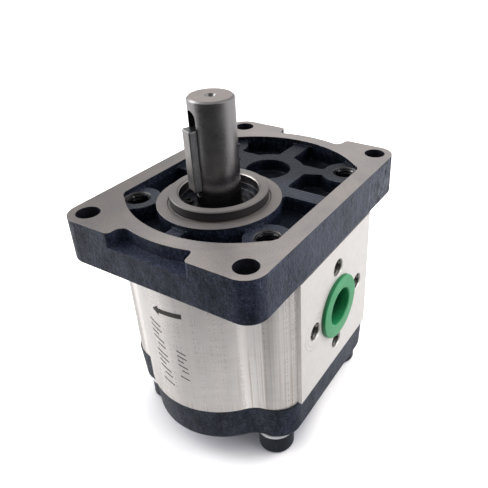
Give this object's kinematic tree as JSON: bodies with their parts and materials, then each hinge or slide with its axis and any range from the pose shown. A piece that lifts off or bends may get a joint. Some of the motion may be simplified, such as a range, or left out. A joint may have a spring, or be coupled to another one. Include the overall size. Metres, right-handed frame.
{
  "type": "hydraulic gear pump",
  "caption": "External gear pump with a flanged cast front cover, keyed drive shaft, extruded aluminium body with bolted side ports, cast rear cover and plastic transit plugs.",
  "frame": {"origin": "drive shaft axis at the machined mounting face of the front cover", "axes": "+Z along the drive shaft out of the mounting face, +Y from the drive gear axis to the driven gear axis, +X towards the inlet port"},
  "size_m": [0.0946, 0.122, 0.1542],
  "materials": {
    "black_casting_machined": "blue-black paint over sand-cast iron; mounting face, seal land and pilot spigot machined bare",
    "black_casting": "blue-black paint over sand-cast iron",
    "extruded_aluminium": "bare extrusion, fine lines along the draw, milled port faces",
    "ground_steel": "ground and lightly oiled",
    "key_steel": "cold drawn",
    "block_aluminium": "machined",
    "bush_lining": "bronze and polymer lining",
    "seal_rubber": "moulded nitrile",
    "seal_case_rubber": "rubber-covered steel case",
    "backup_plastic": "moulded",
    "spring_steel": "bright",
    "spring_steel_black": "phosphated and oiled",
    "screw_black_oxide": "black oxide, oiled",
    "washer_zinc": "bright zinc plate",
    "green_plastic": "soft moulded polyethylene"
  },
  "bodies": {
    "pump": {"front_cover": "black_casting_machined", "pump_body": "extruded_aluminium", "rear_cover": "black_casting", "front_bearing_block": "block_aluminium", "rear_bearing_block": "block_aluminium", "front_drive_bush": "bush_lining", "front_driven_bush": "bush_lining", "rear_drive_bush": "bush_lining", "rear_driven_bush": "bush_lining", "front_pressure_seal": "seal_rubber", "rear_pressure_seal": "seal_rubber", "front_backup_strip": "backup_plastic", "rear_backup_strip": "backup_plastic", "front_body_seal": "seal_rubber", "rear_body_seal": "seal_rubber", "shaft_seal_case": "seal_case_rubber", "shaft_seal_lip": "seal_rubber", "shaft_seal_spring": "spring_steel", "retaining_ring": "spring_steel_black", "front_dowel_pins": "spring_steel", "rear_dowel_pins": "spring_steel", "cover_screws": "screw_black_oxide", "screw_washers": "washer_zinc"},
    "drive_shaft": {"drive_gear_shaft": "ground_steel", "shaft_key": "key_steel"},
    "driven_shaft": {"driven_gear_shaft": "ground_steel"},
    "inlet_plug_body": {"inlet_plug": "green_plastic"},
    "outlet_plug_body": {"outlet_plug": "green_plastic"}
  },
  "joints": [
    {"name": "drive_spin", "type": "hinge", "parent": "pump", "child": "drive_shaft", "pos_m": [0, 0, 0], "axis": [0, 0, 1], "continuous": true},
    {"name": "driven_spin", "type": "hinge", "parent": "pump", "child": "driven_shaft", "pos_m": [0, 0.036, 0], "axis": [0, 0, 1], "continuous": true},
    {"name": "inlet_plug_pull", "type": "slide", "parent": "pump", "child": "inlet_plug_body", "axis": [1, 0, 0], "range_m": [0, 0.03]},
    {"name": "outlet_plug_pull", "type": "slide", "parent": "pump", "child": "outlet_plug_body", "axis": [-1, 0, 0], "range_m": [0, 0.03]}
  ],
  "couplings": [
    {"joint": "driven_spin", "follows": "drive_spin", "ratio": -1}
  ]
}
